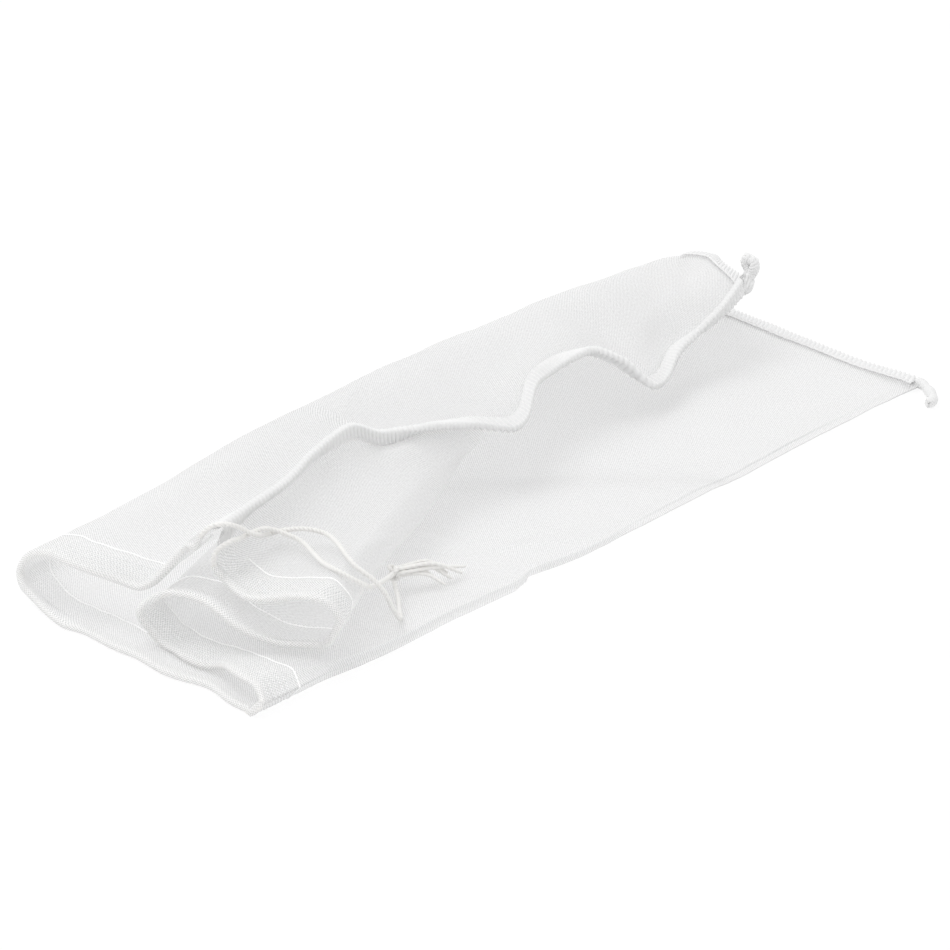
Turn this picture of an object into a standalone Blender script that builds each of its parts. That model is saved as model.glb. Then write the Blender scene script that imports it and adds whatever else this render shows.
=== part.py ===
"""Mesh produce bag, laid flat and folded lengthwise with its side seam on top.

The cloth is one cut of fine net. It is folded at the front long edge, overlocked along the side seam
and the bottom, and turned in at the mouth to make a casing for a twisted drawstring. Both cord ends
leave the casing at the side seam and are tied in one overhand knot, with their plies frayed.

Metres, +Z up. +X is towards the front fold, +Y runs from the mouth to the bottom seam, and the origin
is under the middle of the bag.
"""

from math import cos, pi, sin, tau

import bpy
import numpy as np
from mathutils import Vector

MM = 0.001

# The cut, sewn and laid out
BAG_WIDTH = 305 * MM
BAG_LENGTH = 483 * MM
LAY_HEIGHT = 64 * MM
WALL = 0.7 * MM
CLEARANCE = 0.3 * MM
LAYER_GAP = 0.8 * MM

# The turned casing at the mouth
HEM_WIDTH = 20 * MM
HEM_WALL = 0.6 * MM
CASING_EASE = 0.6 * MM
CASING_FROM = 1.3

# The overlocked seams
SEAM_WIDTH = 7.5 * MM
THREAD_WALL = 0.5 * MM
THREAD_REACH = 0.8
SEAM_EASE = 0.6 * MM
TAIL_DIAMETER = 3.6 * MM

# The drawstring
CORD_DIAMETER = 2.0 * MM
KNOT_DIAMETER = 11 * MM
PLY_DIAMETER = 0.9 * MM
PLY_RISE = 8 * MM

# The two free ends of the drawstring, in millimetres. They wrap once round each other beside the seam.
# The outer one runs over the loose fold and down to a bight on the lower layer, the inner one straight
# to the knot.
OUTER_STRAND = [
    (11.0, -216.5, 49.0), (15.5, -216.5, 56.0), (20.5, -214.0, 61.0), (25.0, -208.5, 60.5), (26.5, -203.0, 57.5),
    (28.0, -196.2, 52.4), (25.5, -185.0, 46.9), (26.5, -175.0, 46.0), (33.0, -168.0, 46.6),
    (41.0, -163.0, 45.5), (52.0, -165.5, 45.0), (63.0, -171.0, 44.5), (72.0, -173.5, 42.0),
    (79.5, -170.0, 36.5), (81.0, -163.5, 27.0), (79.0, -157.5, 17.0), (79.0, -153.5, 10.8),
    (79.8, -150.0, 10.2), (75.5, -146.5, 10.3), (66.5, -140.0, 10.8), (59.5, -134.3, 12.2), (55.6, -131.2, 13.6),
]
INNER_STRAND = [
    (22.6, -215.0, 42.0), (24.0, -214.8, 48.5), (28.0, -209.5, 53.0), (27.5, -203.0, 52.0),
    (24.8, -192.0, 50.6), (25.5, -185.0, 50.2), (28.8, -177.2, 46.4), (35.0, -173.0, 43.4),
    (48.0, -177.0, 42.6), (61.0, -183.0, 43.4), (73.0, -185.5, 44.0), (80.0, -180.0, 39.0),
    (73.8, -166.5, 30.0), (66.0, -152.0, 24.0), (58.5, -138.5, 19.5), (55.6, -132.8, 18.2),
]
KNOT_AT = (51.5, -127.5, 16.0)
KNOT_OPENING = 0.35
PULL = (0.55, 0.82, 0.10)
PLY_TIPS = [
    (11.0, 37.0, -6.4), (14.5, 31.0, -6.4), (9.0, 27.0, -6.6), (15.0, 23.5, -6.4), (9.5, 18.0, -6.4),
    (18.0, 16.0, -6.2),
]
CORD_STEP = 5 * MM

# The ends of the overlocker's thread chain, in millimetres from the bottom corner that each curls away from
SEAM_TAIL = [(-0.6, 2.1, 0.8), (-2.1, 5.7, 2.9), (-3.9, 7.9, 6.3), (-1.5, 8.5, 9.1), (1.7, 8.1, 6.1)]
FRONT_TAIL = [(2.8, -0.9, 0.8), (6.2, -3.9, 1.0), (11.7, -8.3, 1.0), (16.7, -12.8, 1.0), (17.7, -18.8, 0.8)]

# How finely the cloth is laid out
RING_STEP = 13 * MM
MAX_SPLIT = 3
ROW_STEP = 22 * MM

HALF_LENGTH = BAG_LENGTH / 2
QUARTER_WIDTH = BAG_WIDTH / 4
LAYER_PITCH = WALL + LAYER_GAP

# Each rail is a ridge or valley that runs the length of the bag. Its points are (along, across, up) as
# shares of half the length, a quarter of the width and the height of the lay.
SEAM_EDGE = [
    (-0.87, 0.29, 0.89), (-0.77, 0.21, 0.91), (-0.66, 0.16, 0.94), (-0.52, 0.00, 0.97),
    (-0.41, -0.07, 1.00), (-0.30, -0.08, 0.82), (-0.20, 0.00, 0.77), (-0.08, 0.04, 0.65),
    (0.00, 0.18, 0.58), (0.17, -0.09, 0.69), (0.35, -0.17, 0.70), (0.43, -0.08, 0.55),
    (0.50, 0.03, 0.28), (0.66, -0.14, 0.41), (0.77, -0.16, 0.56), (0.91, -0.26, 0.74),
]
OUTER_RAILS = {
    "dip": [
        (-0.94, -0.24, 0.38), (-0.83, -0.24, 0.44), (-0.54, -0.35, 0.62), (-0.31, -0.39, 0.69),
        (0.00, -0.34, 0.69), (0.21, -0.43, 0.73), (0.37, -0.48, 0.75), (0.50, -0.39, 0.58),
        (0.66, -0.47, 0.62), (0.89, -0.54, 0.70), (0.94, -0.56, 0.67),
    ],
    "back_top": [
        (-1.00, -0.76, 0.46), (-0.79, -0.76, 0.52), (-0.54, -0.76, 0.66), (-0.31, -0.76, 0.77),
        (-0.10, -0.76, 0.81), (0.10, -0.76, 0.82), (0.45, -0.76, 0.82), (0.61, -0.76, 0.79),
        (0.85, -0.77, 0.73), (0.99, -0.78, 0.62),
    ],
    "back_shoulder": [
        (-1.00, -0.98, 0.38), (-0.31, -1.00, 0.60), (0.21, -1.01, 0.67), (0.85, -1.03, 0.60),
        (1.01, -1.04, 0.55),
    ],
    "back_edge": [(-1.00, -1.07, 0.20), (-0.31, -1.09, 0.30), (0.21, -1.10, 0.34), (1.02, -1.14, 0.28)],
    "back_heel": [(-1.00, -1.02, 0.09), (1.02, -1.05, 0.09)],
    "floor_back": [(-1.00, -0.92, 0.00), (1.02, -0.92, 0.00)],
    "floor_front": [
        (-1.00, 1.02, 0.00), (-0.31, 1.03, 0.00), (-0.23, 0.99, 0.00), (-0.14, 1.01, 0.00), (1.02, 0.95, 0.00),
    ],
    "front_edge": [
        (-1.00, 1.11, 0.100), (-0.31, 1.12, 0.070), (-0.23, 1.06, 0.055), (-0.14, 1.09, 0.050),
        (0.30, 1.11, 0.050), (0.60, 1.08, 0.042), (1.02, 1.03, 0.035),
    ],
}
INNER_RAILS = {
    "front_top": [
        (-1.00, 1.02, 0.19), (-0.96, 1.02, 0.165), (-0.80, 1.03, 0.13), (-0.31, 1.03, 0.12),
        (-0.23, 0.98, 0.11), (-0.10, 1.00, 0.09),
    ],
    "step_front": [
        (-1.00, 0.78, 0.16), (-0.96, 0.78, 0.125), (-0.80, 0.76, 0.105), (-0.31, 0.72, 0.10),
        (-0.10, 0.70, 0.06),
    ],
    "step_back": [(-1.00, 0.42, 0.140), (-0.96, 0.40, 0.09), (-0.60, 0.07, 0.05), (-0.10, -0.13, 0.05)],
    "inner_foot": [(-1.00, 0.14, 0.145), (-0.96, 0.12, 0.10), (-0.60, -0.32, 0.06), (-0.10, -0.74, 0.05)],
    "inner_edge": [(-0.99, 0.00, 0.27), (-0.60, -0.47, 0.25), (-0.33, -0.73, 0.31), (-0.08, -0.88, 0.36)],
    "inner_top": [(-0.95, 0.10, 0.40), (-0.60, -0.34, 0.45), (-0.33, -0.58, 0.53), (-0.08, -0.71, 0.62)],
    "lower_leaf": [(-0.93, 0.31, 0.40), (-0.60, -0.10, 0.47), (-0.33, -0.33, 0.47), (-0.08, -0.50, 0.56)],
    "lower_valley": [(-0.88, 0.84, 0.20), (-0.60, 0.39, 0.20), (-0.33, 0.06, 0.25), (-0.08, -0.25, 0.38)],
    "bulge_low": [(-0.85, 1.05, 0.22), (-0.60, 0.59, 0.22), (-0.33, 0.25, 0.25), (-0.08, -0.12, 0.34)],
    "bulge_edge": [(-0.85, 1.25, 0.55), (-0.60, 0.75, 0.44), (-0.33, 0.37, 0.37), (-0.08, -0.04, 0.37)],
    "bulge_top": [(-0.86, 1.13, 0.70), (-0.60, 0.65, 0.60), (-0.33, 0.29, 0.52), (-0.08, -0.02, 0.41)],
    "upper_leaf": [(-0.89, 0.63, 0.55), (-0.60, 0.43, 0.60), (-0.33, 0.15, 0.62), (-0.08, -0.03, 0.50)],
    "upper_root": [(-0.88, 0.37, 0.58), (-0.60, 0.20, 0.69), (-0.33, 0.01, 0.71), (-0.08, -0.05, 0.57)],
}

# Past the middle of the bag the inner layer lies nested against the outer one. Each inner rail then
# rests at this place along the outer keys, counted from the seam edge (0) to the front edge (9).
NESTED_AT = [9, 8, 7.75, 7.35, 7, 5, 3.6, 3, 2.6, 2.3, 2.1, 1.9, 1.6, 1.3, 1, 0]
NEST_FROM = 0.45
NEST_TO = 0.6
NEST_GAP = 3 * MM
FOLD_RISE = 5.0 * MM
MOUTH_SPREAD = 8 * MM

# The drawstring lies just in front of the cloth's edge, and the casing rolls round it.
CORD_LIFT = WALL / 2 + CASING_EASE + CORD_DIAMETER / 2
CORD_INSET = -CLEARANCE
ROLL_RADIUS = CORD_DIAMETER / 2 + CASING_EASE + HEM_WALL / 2
HEM_INSETS = [0, ROLL_RADIUS * 3, HEM_WIDTH * 0.6, HEM_WIDTH]

# The overlock threads stand off the cloth and off its raw edges.
THREAD_LIFT = (WALL + THREAD_WALL) / 2 + SEAM_EASE
EDGE_GAP = SEAM_EASE + THREAD_WALL / 2

# Small steps, in keys and in shares of the length, for reading a slope
STEP_ACROSS = 0.02
STEP_ALONG = 0.002

FRONT_KEY = len(OUTER_RAILS) + 1
LAST_KEY = FRONT_KEY + len(INNER_RAILS) + 2


def monotone(places, values, at):
    """Shape-keeping cubic through values (one row per place), read at the places in at."""
    places = np.asarray(places, float)
    values = np.asarray(values, float)
    at = np.clip(at, places[0], places[-1])
    step = np.diff(places)[:, None]
    slope = np.diff(values, axis=0) / step
    tangent = np.vstack([slope[:1], np.zeros_like(slope[1:]), slope[-1:]])
    before, after = slope[:-1], slope[1:]
    near, far = step[:-1], step[1:]
    same_way = before * after > 0
    weight_b, weight_a = 2 * far + near, far + 2 * near
    with np.errstate(divide="ignore", invalid="ignore"):
        mean = (weight_b + weight_a) / (weight_b / before + weight_a / after)
    tangent[1:-1] = np.where(same_way, mean, 0)
    i = np.clip(np.searchsorted(places, at, side="right") - 1, 0, len(step) - 1)
    h = step[i]
    t = ((at - places[i])[:, None]) / h
    return (
        (1 + 2 * t) * (1 - t) ** 2 * values[i]
        + t * (1 - t) ** 2 * h * tangent[i]
        + t * t * (3 - 2 * t) * values[i + 1]
        + t * t * (t - 1) * h * tangent[i + 1]
    )


def ease(low, high, at):
    """Smooth step from 0 at low to 1 at high."""
    t = np.clip((at - low) / (high - low), 0, 1)
    return t * t * (3 - 2 * t)


def unit(vector):
    return vector / np.linalg.norm(vector, axis=-1, keepdims=True)


def floor_height(v):
    """Height of the lowest cloth. It lies flat, and rises over the seam's threads at the bottom."""
    rise = ease(BAG_LENGTH - 4 * SEAM_WIDTH, BAG_LENGTH - SEAM_WIDTH, v * BAG_LENGTH)
    return WALL / 2 + (SEAM_EASE + THREAD_WALL) * float(rise)


def on_rail(rail, v, end=None):
    """The rail's point at share v of the way from its mouth end to its last point, or to end."""
    rail = np.array(rail)
    along = rail[0, 0] + ((rail[-1, 0] if end is None else end) - rail[0, 0]) * v
    across, up = monotone(rail[:, 0], rail[:, 1:], np.array([along]))[0]
    return np.array([across * QUARTER_WIDTH, along * HALF_LENGTH, max(up * LAY_HEIGHT, floor_height(v))])


def free_rail(rail, v):
    """An inner rail's point. It would end as far from the bottom as it starts from the mouth."""
    return on_rail(rail, v, -rail[0][0])


def along_keys(keys, at):
    """Points on the curve through the keys, where at counts keys."""
    lengths = np.concatenate([[0], np.cumsum(np.linalg.norm(np.diff(keys, axis=0), axis=1))])
    return monotone(lengths, keys, np.interp(at, np.arange(len(keys)), lengths))


def nesting(v):
    return float(ease(NEST_FROM, NEST_TO, v))


def fin(v, dip, upper_root):
    """Edge and root of the sewn fin where both layers stand together, for the outer and inner layer."""
    edge = on_rail(SEAM_EDGE, v)
    upright = np.array([1, 0, 1])
    lean = unit(unit((dip - edge) * upright) + unit((upper_root - edge) * upright) * (1 - nesting(v)))
    root = edge + lean * SEAM_WIDTH
    heading = on_rail(SEAM_EDGE, min(v + STEP_ALONG, 1)) - on_rail(SEAM_EDGE, max(v - STEP_ALONG, 0))
    inward = unit(np.cross(lean, heading))
    closing = ease(0, HEM_WIDTH * 2, v * BAG_LENGTH)
    apart = inward * (LAYER_PITCH + MOUTH_SPREAD * (1 - closing)) / 2
    together = inward * LAYER_PITCH / 2
    return (edge - together, root - apart), (root + apart, edge + together)


def outer_keys(v):
    rails = [on_rail(rail, v) for rail in OUTER_RAILS.values()]
    outer_fin, _ = fin(v, rails[0], free_rail(INNER_RAILS["upper_root"], v))
    return np.array([*outer_fin, *rails])


def inner_keys(v, front_edge):
    rails = [free_rail(rail, v) for rail in INNER_RAILS.values()]
    _, inner_fin = fin(v, on_rail(OUTER_RAILS["dip"], v), rails[-1])
    return np.array([front_edge, *rails, *inner_fin])


def outer_layer(v, at):
    return along_keys(outer_keys(v), at)


def inward_normal(surface, v, at):
    """Unit normal, towards the inside of the bag, of surface(v, at)."""
    across = surface(v, at + STEP_ACROSS) - surface(v, at - STEP_ACROSS)
    along = surface(min(v + STEP_ALONG, 1), at) - surface(max(v - STEP_ALONG, 0), at)
    return unit(np.cross(across, along))


def nested_layer(v, at):
    """The inner layer where it lies against the outer one, at counting keys from the front edge."""
    host = np.interp(at, np.arange(len(NESTED_AT)), NESTED_AT)
    gaps = np.full(len(NESTED_AT), LAYER_PITCH + NEST_GAP * (1 - float(ease(NEST_TO, 1, v))))
    gaps[:2] = 0, FOLD_RISE
    gaps[-2:] = LAYER_PITCH
    gap = monotone(np.arange(len(gaps)), gaps[:, None], at)
    return outer_layer(v, host) + inward_normal(outer_layer, v, host) * gap


def ring(v, at):
    """Points of the cloth's middle surface at share v of its length, where at counts keys."""
    is_outer = at <= FRONT_KEY
    inner_at = at[~is_outer] - FRONT_KEY
    points = np.zeros((len(at), 3))
    points[is_outer] = outer_layer(v, at[is_outer])
    free = along_keys(inner_keys(v, outer_keys(v)[-1]), inner_at)
    points[~is_outer] = free
    if nesting(v) > 0:
        points[~is_outer] += (nested_layer(v, inner_at) - free) * nesting(v)
    points[:, 2] = np.maximum(points[:, 2], floor_height(v))
    return points


def cloth(at, inset, lift):
    """Points lifted towards the inside of the bag from places on the cloth.

    at counts keys round the ring and inset is the distance in from the mouth. Below zero, inset runs out
    in front of the mouth edge.
    """
    v = max(inset, 0) / BAG_LENGTH
    out = unit(ring(0, at) - ring(STEP_ALONG, at)) * max(-inset, 0)
    return ring(v, at) + out + inward_normal(ring, v, at) * lift


def layer_places():
    """Places round the outer and the inner layer, facing each other wherever the layers nest."""
    knots = np.unique([*range(FRONT_KEY + 1), *NESTED_AT]).astype(float)
    outer = ring(0.3, knots)
    inner = ring(0.3, facing(knots))
    places = []
    for i, knot in enumerate(knots[:-1]):
        longest = max(np.linalg.norm(layer[i + 1] - layer[i]) for layer in (outer, inner))
        count = int(min(MAX_SPLIT, np.ceil(longest / RING_STEP)))
        places.extend(np.linspace(knot, knots[i + 1], count, endpoint=False))
    return np.array([*places, FRONT_KEY])


def facing(outer_places):
    """Places on the inner layer that face these places on the outer one, counted round the ring."""
    return FRONT_KEY + np.interp(outer_places, NESTED_AT[::-1], np.arange(len(NESTED_AT))[::-1])


def ring_places(first):
    """Places from key first of the outer layer, round the front fold, to its mate on the inner one."""
    outer = layer_places()
    outer = outer[outer >= first]
    return np.array([*outer, *facing(outer)[-2::-1]])


def row_insets():
    """How far in from the mouth each row of the cloth lies."""
    to_seam = BAG_LENGTH - SEAM_WIDTH
    past_hem = np.linspace(HEM_WIDTH, to_seam, round((to_seam - HEM_WIDTH) / ROW_STEP) + 1)
    return [*HEM_INSETS[:-1], *past_hem, BAG_LENGTH]


def material(name, colour, roughness):
    made = bpy.data.materials.new(name)
    made.use_nodes = True
    shader = made.node_tree.nodes["Principled BSDF"]
    shader.inputs["Base Color"].default_value = (*colour, 1)
    shader.inputs["Roughness"].default_value = roughness
    shader.inputs["Metallic"].default_value = 0
    made.diffuse_color = (*colour, 1)
    return made


def sheet(name, rows, wall, finish, edge_inwards=True):
    """A closed sheet from rows of middle-surface points, thickened by Solidify.

    Each square is split along one diagonal, mirrored at the middle column, so that layers lying on each
    other are folded alike. edge_inwards says whether the columns start at the cloth's own edge.
    """
    rows = np.asarray(rows)
    tall, wide = rows.shape[:2]
    faces = []
    for r in range(tall - 1):
        for c in range(wide - 1):
            low, high = r * wide + c, (r + 1) * wide + c
            if (c < wide // 2) == edge_inwards:
                faces += [(low, low + 1, high + 1), (low, high + 1, high)]
            else:
                faces += [(low, low + 1, high), (low + 1, high + 1, high)]
    mesh = bpy.data.meshes.new(name)
    mesh.from_pydata(rows.reshape(-1, 3).tolist(), [], faces)
    mesh.materials.append(finish)
    mesh.shade_smooth()
    piece = bpy.data.objects.new(name, mesh)
    bag.objects.link(piece)
    solidify = piece.modifiers.new("wall", "SOLIDIFY")
    solidify.thickness = wall
    solidify.offset = 0
    return piece


def cord(name, points, diameter, finish, swell=None):
    """A round cord along points, with filled ends."""
    curve = bpy.data.curves.new(name, "CURVE")
    curve.dimensions = "3D"
    curve.bevel_depth = diameter / 2
    curve.bevel_resolution = 2
    curve.use_fill_caps = True
    spline = curve.splines.new("POLY")
    spline.points.add(len(points) - 1)
    for i, point in enumerate(points):
        spline.points[i].co = (*point, 1)
        spline.points[i].radius = 1 if swell is None else swell[i]
    curve.materials.append(finish)
    piece = bpy.data.objects.new(name, curve)
    bag.objects.link(piece)
    return piece


for old in list(bpy.data.objects):
    bpy.data.objects.remove(old, do_unlink=True)
bag = bpy.data.collections.new("mesh_produce_bag")
bpy.context.scene.collection.children.link(bag)

NET = material("white nylon net", (0.92, 0.93, 0.94), 0.6)
THREAD = material("white spun thread", (0.95, 0.95, 0.94), 0.7)
COTTON = material("white cotton cord", (0.93, 0.92, 0.90), 0.85)


def mesh_body():
    """The folded cut of net, from its seam edge right round to its seam edge."""
    places = ring_places(0)
    return sheet("mesh_body", [cloth(places, inset, 0) for inset in row_insets()], WALL, NET)


def mouth_casing():
    """The turned hem: a flat leaf inside the mouth that rolls forward round the drawstring."""
    leaf_lift = (WALL + HEM_WALL) / 2 + CLEARANCE
    leaf = [(inset, leaf_lift) for inset in HEM_INSETS[:0:-1]]
    roll = [
        (CORD_INSET + ROLL_RADIUS * cos(angle), CORD_LIFT + ROLL_RADIUS * sin(angle))
        for angle in np.linspace(pi * 0.3, pi * 1.5, 7)
    ]
    places = ring_places(CASING_FROM)
    rows = [cloth(places, inset, lift) for inset, lift in [*leaf, *roll]]
    return sheet("mouth_casing", rows, HEM_WALL, NET)


def drawstring_run():
    """The stretch of drawstring that the casing holds, all the way round the mouth."""
    route = cloth(ring_places(CASING_FROM), CORD_INSET, CORD_LIFT)
    cord("drawstring_in_casing", route, CORD_DIAMETER, COTTON)
    return route


def wrapped(outer_root, outer_edge, inner_edge, inner_root):
    """Section of threads carried over the raw edges, as columns of points from root to root."""
    out = unit(outer_edge + inner_edge - outer_root - inner_root) * EDGE_GAP
    return [outer_root, outer_edge, outer_edge + out, inner_edge + out, inner_edge, inner_root]


def fin_leg(edge_key, root_key, inset):
    """The threads' foot and edge points on one layer of the fin. The foot stops short of the root."""
    edge, root = cloth(np.array([edge_key, root_key]), inset, 0)
    lifted = cloth(np.array([edge_key]), inset, -THREAD_LIFT)[0]
    return lifted + (root - edge) * THREAD_REACH, lifted


def side_seam():
    """Overlock threads wrapped round both raw edges, up the outer layer and down the inner one."""
    rows = []
    for inset in row_insets()[:-1]:
        outer_foot, outer_edge = fin_leg(0.0, 1.0, inset)
        inner_foot, inner_edge = fin_leg(LAST_KEY, LAST_KEY - 1.0, inset)
        rows.append(wrapped(outer_foot, outer_edge, inner_edge, inner_foot))
    rows[-1] = rows[-1] + unit(np.subtract(rows[-2], rows[-1])) * 2 * CLEARANCE
    return sheet("side_seam_overlock", rows, THREAD_WALL, THREAD, edge_inwards=False)


def bottom_seam():
    """Overlock threads wrapped round the bottom edges, from the seam corner to the front fold."""
    outer = layer_places()
    outer = outer[outer <= FRONT_KEY - 0.5]
    start, end = BAG_LENGTH - SEAM_WIDTH, BAG_LENGTH
    columns = wrapped(
        cloth(outer, start, -THREAD_LIFT),
        cloth(outer, end, -THREAD_LIFT),
        cloth(facing(outer), end, -THREAD_LIFT),
        cloth(facing(outer), start, -THREAD_LIFT),
    )
    return sheet("bottom_seam_overlock", np.swapaxes(columns, 0, 1), THREAD_WALL, THREAD)


def smooth_route(points, step):
    """A smooth curve through hand-placed points, read at places about one step apart."""
    points = np.array(points, float)
    lengths = np.concatenate([[0], np.cumsum(np.linalg.norm(np.diff(points, axis=0), axis=1))])
    slopes = np.gradient(points, lengths, axis=0)
    at = np.linspace(0, lengths[-1], round(lengths[-1] / step) + 1)
    i = np.clip(np.searchsorted(lengths, at, side="right") - 1, 0, len(points) - 2)
    h = (lengths[i + 1] - lengths[i])[:, None]
    t = (at - lengths[i])[:, None] / h
    return (
        (1 + 2 * t) * (1 - t) ** 2 * points[i]
        + t * (1 - t) ** 2 * h * slopes[i]
        + t * t * (3 - 2 * t) * points[i + 1]
        + t * t * (t - 1) * h * slopes[i + 1]
    )


def strand(name, points, run_end, run_before):
    """A free end of the drawstring, led straight out of the casing and on to the knot."""
    heading = unit(run_end - run_before)
    lead = run_end + heading * CLEARANCE
    route = smooth_route([lead + heading * CORD_DIAMETER, *np.array(points) * MM], CORD_STEP)
    return cord(name, [lead, *route], CORD_DIAMETER, COTTON)


def knot():
    """One overhand knot, as an open trefoil of the cord drawn tight."""
    turns = np.linspace(KNOT_OPENING, tau - KNOT_OPENING, 48)
    lobe = (KNOT_DIAMETER - CORD_DIAMETER) / 6
    flat = np.stack([np.sin(turns) + 2 * np.sin(2 * turns), np.cos(turns) - 2 * np.cos(2 * turns)], axis=1)
    rise = -np.sin(3 * turns) * CORD_DIAMETER * 0.9
    pull = unit(np.array(PULL))
    side = unit(np.cross(pull, [0, 0, 1]))
    up = np.cross(side, pull)
    points = np.array(KNOT_AT) * MM + lobe * (flat[:, :1] * side + flat[:, 1:] * up) + rise[:, None] * pull
    return cord("drawstring_knot", points, CORD_DIAMETER, COTTON)


def frayed_ply(number, tip):
    """One ply of the unlaid cord end, from the knot to where its tip rests."""
    angle = tau * number / len(PLY_TIPS)
    centre = np.array(KNOT_AT) * MM
    pull = unit(np.array(PULL))
    side = unit(np.cross(pull, [0, 0, 1]))
    spread = (side * cos(angle) + np.cross(side, pull) * sin(angle)) * PLY_DIAMETER * 1.5
    start = centre + pull * (KNOT_DIAMETER / 2) + spread
    end = centre + np.array(tip) * MM
    middle = start + pull * PLY_RISE + spread * 0.5 + (end - start) * np.array([0.2, 0.2, 0.1])
    points = smooth_route([start, middle, end], PLY_DIAMETER * 4)
    return cord(f"frayed_ply_{number + 1}", points, PLY_DIAMETER, COTTON)


def chain_tail(name, corner_key, points):
    """A short end of the overlocker's thread chain at a bottom corner, lumpy where its loops bunch."""
    corner = cloth(np.array([corner_key]), BAG_LENGTH, 0)[0]
    route = smooth_route(corner + np.array(points) * MM, TAIL_DIAMETER * 0.4)
    lumps = 1 + 0.2 * np.sin(np.arange(len(route)) * 1.7)
    return cord(name, route, TAIL_DIAMETER, THREAD, swell=lumps)


def settle():
    """Centre the bag over the origin, measured across its cloth and its seams."""
    bpy.context.view_layer.update()
    sewn = [piece for piece in bag.objects if piece.type == "MESH"]
    corners = np.array([piece.matrix_world @ Vector(corner) for piece in sewn for corner in piece.bound_box])
    middle = (corners.min(axis=0) + corners.max(axis=0)) / 2
    for piece in bag.objects:
        piece.location = (-middle[0], -middle[1], 0)


mesh_body()
mouth_casing()
side_seam()
bottom_seam()
run = drawstring_run()
strand("drawstring_strand_outer", OUTER_STRAND, run[0], run[1])
strand("drawstring_strand_inner", INNER_STRAND, run[-1], run[-2])
knot()
for number, tip in enumerate(PLY_TIPS):
    frayed_ply(number, tip)
chain_tail("seam_corner_tail", 0.0, SEAM_TAIL)
chain_tail("front_corner_tail", FRONT_KEY, FRONT_TAIL)
settle()
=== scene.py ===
"""Mesh produce bag, lying flat and folded lengthwise with its side seam on top.

Sections follow the bag as it is sewn: the studio it lies in, the cut of net, the turned mouth, the
drawstring, the overlocked seams and the ends of their thread. Metres, +Z up, in the frame's own axes.
"""

from math import cos, pi, sin, sqrt, tau

import bpy
import numpy as np
from mathutils import Euler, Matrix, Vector, noise


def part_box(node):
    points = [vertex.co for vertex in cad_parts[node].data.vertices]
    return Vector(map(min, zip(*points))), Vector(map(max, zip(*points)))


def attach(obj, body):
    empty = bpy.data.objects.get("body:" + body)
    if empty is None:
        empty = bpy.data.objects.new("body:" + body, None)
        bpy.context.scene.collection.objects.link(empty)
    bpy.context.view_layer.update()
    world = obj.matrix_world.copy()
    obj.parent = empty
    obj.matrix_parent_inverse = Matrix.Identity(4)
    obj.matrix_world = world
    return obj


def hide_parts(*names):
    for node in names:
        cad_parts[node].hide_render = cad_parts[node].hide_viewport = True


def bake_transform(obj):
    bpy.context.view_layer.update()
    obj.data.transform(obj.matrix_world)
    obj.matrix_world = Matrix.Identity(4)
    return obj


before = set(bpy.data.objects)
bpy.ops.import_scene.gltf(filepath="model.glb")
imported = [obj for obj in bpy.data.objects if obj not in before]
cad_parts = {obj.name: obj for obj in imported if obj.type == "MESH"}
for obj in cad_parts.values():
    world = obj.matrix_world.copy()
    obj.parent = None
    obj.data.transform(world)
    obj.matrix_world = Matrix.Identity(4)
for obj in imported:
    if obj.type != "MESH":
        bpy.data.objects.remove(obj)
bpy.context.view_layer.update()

# ---------------------------------------------------------------------------------------------------
# The studio
# A seamless white table under a wide soft lamp. The white walls of the room fill the shadows. The camera
# looks down at the bag along its length, from the mouth end.
# ---------------------------------------------------------------------------------------------------
MM = 0.001

CAMERA_AT = (1.2340, -1.3675, 0.840)
CAMERA_TURN = 42.5
CAMERA_TILT = 24.3
CAMERA_LENS = 154.8
TABLE_SIZE = 14.0
TABLE_WHITE = "#F4F4F4"
WALL_WHITE = "#FFFFFF"
WALL_LIGHT = 0.95
TABLE_GLOW = 1.02
SHADOW_SHARE = 0.12
LAMP_AT = (-0.8, -0.4, 2.4)
LAMP_SIZE = 1.6
LAMP_POWER = 19.5


def linear(code):
    """Linear colour from an sRGB hex value."""
    parts = [int(code[i : i + 2], 16) / 255 for i in (1, 3, 5)]
    return (*[c / 12.92 if c <= 0.04045 else ((c + 0.055) / 1.055) ** 2.4 for c in parts], 1.0)


def add(tree, kind, inputs=None, **settings):
    """A node with its settings. Each named input takes a value, or a link from another node's socket."""
    made = tree.nodes.new(kind)
    for name, value in settings.items():
        setattr(made, name, value)
    for name, value in (inputs or {}).items():
        if isinstance(value, bpy.types.NodeSocket):
            tree.links.new(value, made.inputs[name])
        else:
            made.inputs[name].default_value = value
    return made


def seen_white(tree, lit, share):
    """White to the eye and in glass, with a share of the lit surface kept for its shadows."""
    rays = add(tree, "ShaderNodeLightPath")
    eye = add(tree, "ShaderNodeMath", {0: rays.outputs["Is Camera Ray"], 1: rays.outputs["Is Glossy Ray"]},
              operation="MAXIMUM")
    eye = add(tree, "ShaderNodeMath", {0: eye.outputs[0], 1: rays.outputs["Is Transmission Ray"]},
              operation="MAXIMUM")
    much = add(tree, "ShaderNodeMath", {0: eye.outputs[0], 1: 1 - share}, operation="MULTIPLY")
    white = add(tree, "ShaderNodeEmission", {"Color": linear(WALL_WHITE), "Strength": TABLE_GLOW})
    return add(tree, "ShaderNodeMixShader", {0: much.outputs[0], 1: lit, 2: white.outputs[0]}).outputs[0]


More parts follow.
